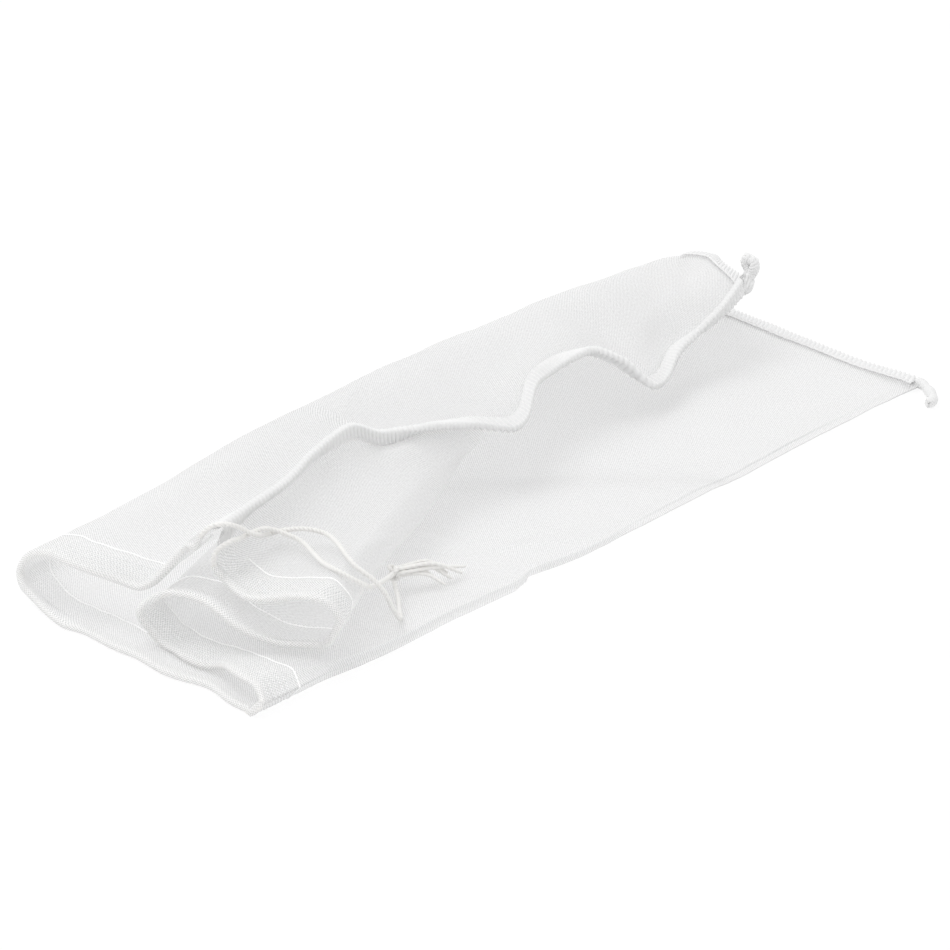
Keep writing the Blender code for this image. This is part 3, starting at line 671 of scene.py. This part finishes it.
def spun_thread(name, shade, white):
    """Polyester staple spun to sewing thread and bleached: soft and matte, with loose fibres."""
    made = bpy.data.materials.new(name)
    made.use_nodes = True
    tree = made.node_tree
    place = add(tree, "ShaderNodeTexCoord")
    fibres = add(tree, "ShaderNodeTexNoise", {
        "Vector": place.outputs["Object"], "Scale": 1 / FIBRE_SIZE, "Detail": 3.0})
    relief = add(tree, "ShaderNodeBump", {
        "Height": fibres.outputs["Fac"], "Strength": 0.15, "Distance": 0.06 * MM})
    tone = add(tree, "ShaderNodeMix", {"Factor": fibres.outputs["Fac"], 6: linear(shade), 7: linear(white)},
               data_type="RGBA")
    shader = tree.nodes["Principled BSDF"]
    tree.links.new(tone.outputs[2], shader.inputs["Base Color"])
    shader.inputs["Roughness"].default_value = 0.75
    shader.inputs["Sheen Weight"].default_value = 0.25
    shader.inputs["Specular IOR Level"].default_value = 0.25
    tree.links.new(relief.outputs[0], shader.inputs["Normal"])
    return made


# The overlock's thread is soft and full. The lock stitch has the same thread in a finer ticket, drawn tight
# and pressed flat by the foot. Its whiter colour is a painted highlight, which makes the line show lighter
# than the net.
sewing_thread = spun_thread("spun polyester thread, bleached", "#E0E0E0", "#EDEDED")
# Painted highlight: the lock stitch's near-white colours stand in for light on the line, whiter than the same
# thread in the overlock.
lock_thread_painted_highlight = spun_thread("fine polyester thread, bleached, with painted highlight", "#FAFAFA", "#FFFFFF")


def stitch_line(away):
    """Lock stitch round the hem: a row of short flat-lying threads that dip at each needle hole."""
    run = np.interp(np.arange(0, 1, 0.0008), np.linspace(0, 1, len(hem_keys)), hem_keys)
    path = on_cloth(run, STITCH_INSET)
    along = distances(path)
    count = int(along[-1] / STITCH_PITCH)
    keys = np.interp(np.linspace(0, along[-1], count * 8 + 1), along, run)
    phase = np.arange(len(keys)) / 8 * pi
    rise = np.abs(np.sin(phase)) ** 0.5
    wander = STITCH_INSET + 0.25 * MM * np.sin(phase * 0.37) + 0.15 * MM * np.sin(phase * 0.13)
    rows = []
    for share in np.linspace(-1, 1, STITCH_ROWS):
        crown = 0.1 * MM + 0.5 * STITCH_THREAD * sqrt(1 - share**2) * (0.4 + 0.6 * rise)
        rows.append(on_cloth(keys, wander + share * STITCH_THREAD * (0.6 + 0.4 * rise), away * crown))
    return np.concatenate(rows), quads(STITCH_ROWS, len(keys)).tolist()


hem_stitches = tubes_piece("hem_lock_stitch", [stitch_line(-1.0), stitch_line(1.6)], lock_thread_painted_highlight)
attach(hem_stitches, "bag")

# ---------------------------------------------------------------------------------------------------
# The drawstring
# Soft-laid cotton cord of three plies, 2 mm thick and about 0.98 m long. It runs round the mouth inside
# the casing, comes out on both sides of the seam, and its ends are tied in one overhand knot and frayed.
# ---------------------------------------------------------------------------------------------------
PLIES = 3
LAY_LENGTH = 6.0 * MM
PLY_GROOVE = 0.46
CORD_RADIUS = 1.22 * MM
CORD_STEP = 0.3 * MM
KNOT_TIGHT = 6.8 * MM
KNOT_OPENING = 0.35
PULL = (0.55, 0.82, 0.10)
PLY_DIAMETER = 2.15 * MM
SLEEVE_LENGTH = {"outer": 19 * MM, "inner": 12 * MM}
FUZZ_SIZE = 1.0 * MM

# The routes of the two free ends in mm, from the casing to the knot, and the tips of the plies from the knot
OUTER_STRAND = [
    (12.5, -216.5, 48.0), (16.5, -216.5, 55.0), (21.0, -214.0, 60.0), (25.0, -208.5, 60.2),
    (26.5, -203.0, 57.5),
    (28.0, -196.2, 52.4), (25.5, -185.0, 46.9), (26.5, -175.0, 46.0), (33.0, -168.0, 46.6),
    (41.0, -163.0, 45.5), (52.0, -165.5, 45.0), (63.0, -171.0, 44.5), (72.0, -173.5, 42.0),
    (79.5, -170.0, 36.5), (81.0, -163.5, 27.0), (79.6, -157.5, 17.0), (78.9, -152.9, 10.8),
    (77.3, -149.8, 8.9), (74.4, -147.4, 9.6), (66.5, -140.0, 10.8), (59.5, -134.3, 12.2),
    (55.6, -131.2, 13.6),
]
INNER_STRAND = [
    (22.6, -215.0, 42.0), (24.0, -214.8, 48.5), (28.0, -209.5, 53.0), (27.5, -203.0, 52.0),
    (24.8, -192.0, 50.6), (25.5, -185.0, 50.2), (28.8, -177.2, 46.4), (35.0, -173.0, 43.4),
    (48.0, -177.0, 42.6), (61.0, -183.0, 43.4), (73.0, -185.5, 44.0), (80.0, -180.0, 39.0),
    (73.8, -166.5, 30.0), (66.0, -152.0, 24.0), (58.5, -138.5, 19.5), (55.6, -132.8, 18.2),
]
PLY_TIPS = [
    (11.0, 37.0, -6.4), (14.5, 31.0, -6.4), (9.0, 27.0, -6.6), (15.0, 23.5, -6.4), (9.5, 18.0, -6.4),
    (18.0, 16.0, -6.2),
]

# Carded cotton, twisted and undyed. It is warmer and duller than the net, and its grooves hold shade.
cotton = bpy.data.materials.new("twisted cotton, undyed")
cotton.use_nodes = True
tree = cotton.node_tree
place = add(tree, "ShaderNodeTexCoord")
fuzz = add(tree, "ShaderNodeTexNoise", {
    "Vector": place.outputs["Object"], "Scale": 1 / FUZZ_SIZE, "Detail": 4.0})
relief = add(tree, "ShaderNodeBump", {"Height": fuzz.outputs["Fac"], "Strength": 0.3, "Distance": 0.1 * MM})
tone = add(tree, "ShaderNodeMix", {"Factor": fuzz.outputs["Fac"], 6: linear("#E4E3E1"), 7: linear("#F3F2F0")},
           data_type="RGBA")
shader = tree.nodes["Principled BSDF"]
tree.links.new(tone.outputs[2], shader.inputs["Base Color"])
shader.inputs["Roughness"].default_value = 0.9
shader.inputs["Sheen Weight"].default_value = 0.3
shader.inputs["Specular IOR Level"].default_value = 0.2
tree.links.new(relief.outputs[0], shader.inputs["Normal"])


def smooth_route(points, step):
    """A smooth curve through given points, read at places about one step apart."""
    points = np.array(points, float)
    lengths = distances(points)
    slopes = np.gradient(points, lengths, axis=0)
    at = np.linspace(0, lengths[-1], round(lengths[-1] / step) + 1)
    i = np.clip(np.searchsorted(lengths, at, side="right") - 1, 0, len(points) - 2)
    h = (lengths[i + 1] - lengths[i])[:, None]
    t = (at - lengths[i])[:, None] / h
    return (
        (1 + 2 * t) * (1 - t) ** 2 * points[i]
        + t * (1 - t) ** 2 * h * slopes[i]
        + t * t * (3 - 2 * t) * points[i + 1]
        + t * t * (t - 1) * h * slopes[i + 1]
    )


def laid_cord(name, path):
    """A length of the three-ply cord along a path."""
    return tubes_piece(name, [tube(path, CORD_RADIUS, 18, PLIES, LAY_LENGTH, PLY_GROOVE)], cotton)


run_path = smooth_route(on_cloth(hem_keys[::4], CORD_INSET, CORD_LIFT), CORD_STEP)
run = laid_cord("drawstring_run", run_path)
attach(run, "bag")
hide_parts("drawstring_in_casing")

# The overhand knot, an open trefoil pulled tight
turns = np.linspace(KNOT_OPENING, tau - KNOT_OPENING, 140)
lobe = KNOT_TIGHT / 6
flat = np.stack([np.sin(turns) + 2 * np.sin(2 * turns), np.cos(turns) - 2 * np.cos(2 * turns)], axis=1)
knot_rise = -np.sin(3 * turns) * CORD_DIAMETER * 0.75
pull = unit(np.array(PULL))
knot_side = unit(np.cross(pull, [0, 0, 1]))
knot_up = np.cross(knot_side, pull)
knot_centre = KNOT_AT + LAY_SHIFT
knot_path = knot_centre + knot_rise[:, None] * pull + lobe * (
    flat[:, :1] * knot_side + flat[:, 1:] * knot_up)
knot = laid_cord("overhand_knot", knot_path)
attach(knot, "drawstring_end")
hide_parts("drawstring_knot")

for number, tip in enumerate(PLY_TIPS):
    angle = tau * number / len(PLY_TIPS)
    spread = (knot_side * cos(angle) + knot_up * sin(angle)) * PLY_DIAMETER * 0.9
    start = knot_centre + pull * 3.5 * MM + spread
    end = knot_centre + np.array(tip) * MM
    middle = start + pull * 8 * MM + spread * 0.5 + (end - start) * np.array([0.2, 0.2, 0.1])
    path = smooth_route([start - pull * 3 * MM, start, middle, end], 0.5 * MM)
    taper = np.interp(np.linspace(0, 1, len(path)), [0, 0.8, 1], [1, 0.9, 0.7]) * PLY_DIAMETER / 2
    ply = tubes_piece(f"frayed_end_{number + 1}", [tube(path, taper, 10, 2, 6 * MM, 0.3)], cotton)
    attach(ply, "drawstring_end")
    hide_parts(f"frayed_ply_{number + 1}")

ends = {
    "outer": (run_path[0], run_path[3], OUTER_STRAND, (CASING_FROM, 0.0)),
    "inner": (run_path[-1], run_path[-4], INNER_STRAND, (hem_keys[-1], LAST_KEY)),
}
for name, (exit_point, before, points, mouth_keys) in ends.items():
    heading = unit(exit_point - before)
    route = [exit_point, exit_point + heading * 2.3 * MM, *(np.array(points) * MM + LAY_SHIFT)]
    path = smooth_route(route, CORD_STEP)
    strand = laid_cord(f"drawstring_{name}_end", path)
    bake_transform(strand)
    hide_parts(f"drawstring_strand_{name}")

    # The casing's own end, drawn out along the cord: a sleeve, and the web between it and the mouth's edge
    sleeve = path[: round(SLEEVE_LENGTH[name] / CORD_STEP) : 3]
    brim = on_cloth(np.linspace(*mouth_keys, len(sleeve)), 0.0)
    tangents = unit(np.gradient(sleeve, axis=0))
    towards = brim - sleeve
    towards = unit(towards - tangents * (towards * tangents).sum(axis=1, keepdims=True))
    beside = np.cross(tangents, towards)
    rolled = [sleeve + ROLL_RADIUS * (cos(a) * towards + sin(a) * beside) for a in np.linspace(tau, 0, 17)]
    web = [rolled[-1] * (1 - share) + brim * share for share in np.linspace(0, 1, 7)[1:]]
    grid = np.array([*rolled, *web])
    down = distances(grid[:, len(sleeve) // 2])
    casing_end = grid_piece(
        f"casing_end_{name}", grid, np.broadcast_to(np.arange(len(sleeve)) * CORD_STEP * 3, grid.shape[:2]),
        np.broadcast_to(down[:, None], grid.shape[:2]), net)
    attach(casing_end, "bag")

# ---------------------------------------------------------------------------------------------------
# The overlocked seams
# Both raw edges are trimmed and wrapped by an overlocker in white spun thread: slanting looper threads
# on each face, a row of needle stitches inside them, and a beaded chain along the edge.
# ---------------------------------------------------------------------------------------------------
LOOP_PITCH = 3.0 * MM
LOOP_SLANT = 0.42
LOOP_RELIEF = 1.25 * MM
LOOP_BASE = 0.15 * MM
BEAD_OUT = 0.75 * MM
BEAD_RELIEF = 0.9 * MM
NEEDLE_INSET = 6.8 * MM
NEEDLE_THREAD = 0.42 * MM
NEEDLE_SWAY = 0.12 * MM
NEEDLE_LIFT = 0.35 * MM
SEAM_STEPS_ACROSS = 34


def side_seam_point(s, d, inner, lift):
    """A point of the side seam: s from the mouth, d in from the raw edge, on the outer or inner face."""
    return on_cloth(LAST_KEY - d / SEAM_WIDTH if inner else d / SEAM_WIDTH, s, -lift)


bottom_outer = columns[columns <= FRONT_KEY - 0.35]
bottom_run = from_edge[-1, : len(bottom_outer)]


def bottom_seam_point(s, d, inner, lift):
    """A point of the bottom seam: s from the seam corner, d in from the raw edge."""
    outer_keys = np.interp(s, bottom_run, bottom_outer)
    return on_cloth(facing_inner(outer_keys) if inner else outer_keys, BAG_LENGTH - d, -lift)


def overlock(name, point, length):
    """The threads of one overlocked seam, packed side by side round both raw edges."""
    s = np.arange(0, length, LOOP_PITCH / 8)
    bead = 0.5 + 0.5 * np.cos(s / LOOP_PITCH * tau)
    nothing = 0 * s
    edges = [point(s, nothing, inner, nothing) for inner in (False, True)]
    inside = [point(s, nothing + 2 * MM, inner, nothing) for inner in (False, True)]
    outward = unit(sum(edges) - sum(inside))
    rows = []
    for q in np.linspace(-1, 1, SEAM_STEPS_ACROSS):
        d = NEEDLE_INSET * abs(q)
        stroke = np.abs(np.cos((s - LOOP_SLANT * d * (1 if q > 0 else -1)) / LOOP_PITCH * pi)) ** 0.55
        lift = (LOOP_BASE + LOOP_RELIEF * stroke) * float(ease(1, 0.88, abs(q)))
        turn = float(ease(-0.12, 0.12, q))
        row = point(s, nothing + d, False, lift) * (1 - turn) + point(s, nothing + d, True, lift) * turn
        rim = np.sqrt(max(0.0, 1 - (q / 0.16) ** 2))
        rows.append(row + outward * (rim * (BEAD_OUT + BEAD_RELIEF * bead))[:, None])
    parts = [(np.concatenate(rows), quads(SEAM_STEPS_ACROSS, len(s)).tolist())]
    needle_inset = NEEDLE_INSET + NEEDLE_SWAY * np.cos(s / LOOP_PITCH * pi)
    for inner in (False, True):
        needle = point(s, needle_inset, inner, nothing + NEEDLE_LIFT)
        parts.append(tube(needle, NEEDLE_THREAD * (0.75 + 0.35 * np.roll(bead, 4)), sides=8))
    return tubes_piece(name, parts, sewing_thread)


for name, node, point, length in (
    ("side_seam_threads", "side_seam_overlock", side_seam_point, BAG_LENGTH - 9 * MM),
    ("bottom_seam_threads", "bottom_seam_overlock", bottom_seam_point, bottom_run[-1]),
):
    seam = overlock(name, point, length)
    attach(seam, "bag")
    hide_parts(node)

# ---------------------------------------------------------------------------------------------------
# The ends of the thread chain
# Where the overlocker runs off the cloth its threads knit an empty chain, cut short and left to curl.
# ---------------------------------------------------------------------------------------------------
TAIL_DIAMETER = 5.2 * MM
TAIL_LAY = 5.0 * MM
TAIL_KNIT = 1.9 * MM

# Routes in mm from each corner. The first lies along the end of the side seam, then stands up and curls back.
SEAM_TAIL = [
    (1.6, -14.9, -6.6), (0.6, -7.4, -3.6), (-0.2, -1.0, 0.0), (-2.0, 1.0, 4.4), (-3.8, 1.0, 8.8),
    (-2.4, 1.2, 11.4), (-0.6, 1.2, 9.8), (1.2, 1.2, 11.0), (2.4, 1.0, 8.2), (1.6, 0.6, 4.2), (0.6, -0.6, 0.6),
]
FRONT_TAIL = [
    (-3.5, 0.0, 0.6), (1.5, -1.5, 0.9), (6.2, -4.4, 0.9), (12.0, -8.6, 0.9), (16.5, -13.4, 0.7),
    (17.8, -18.4, 0.5),
]

for name, key, points in (
    ("seam_corner_tail", 0.5, SEAM_TAIL),
    ("front_corner_tail", FRONT_KEY, FRONT_TAIL),
):
    corner = on_cloth(key, BAG_LENGTH)[0]
    path = smooth_route(corner + np.array(points) * MM, 0.4 * MM)
    _, side, up = transport(path)
    along = distances(path)
    braid = []
    for number in range(3):
        turn = along / TAIL_LAY * tau + number * tau / 3
        reach = TAIL_DIAMETER * 0.27 * (1 + 0.2 * np.sin(along / TAIL_KNIT))
        wound = path + reach[:, None] * (np.cos(turn)[:, None] * side + np.sin(turn)[:, None] * up)
        braid.append(tube(wound, TAIL_DIAMETER * 0.25, sides=8))
    tail = tubes_piece(name + "_threads", braid, sewing_thread)
    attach(tail, "bag")
    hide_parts(name)
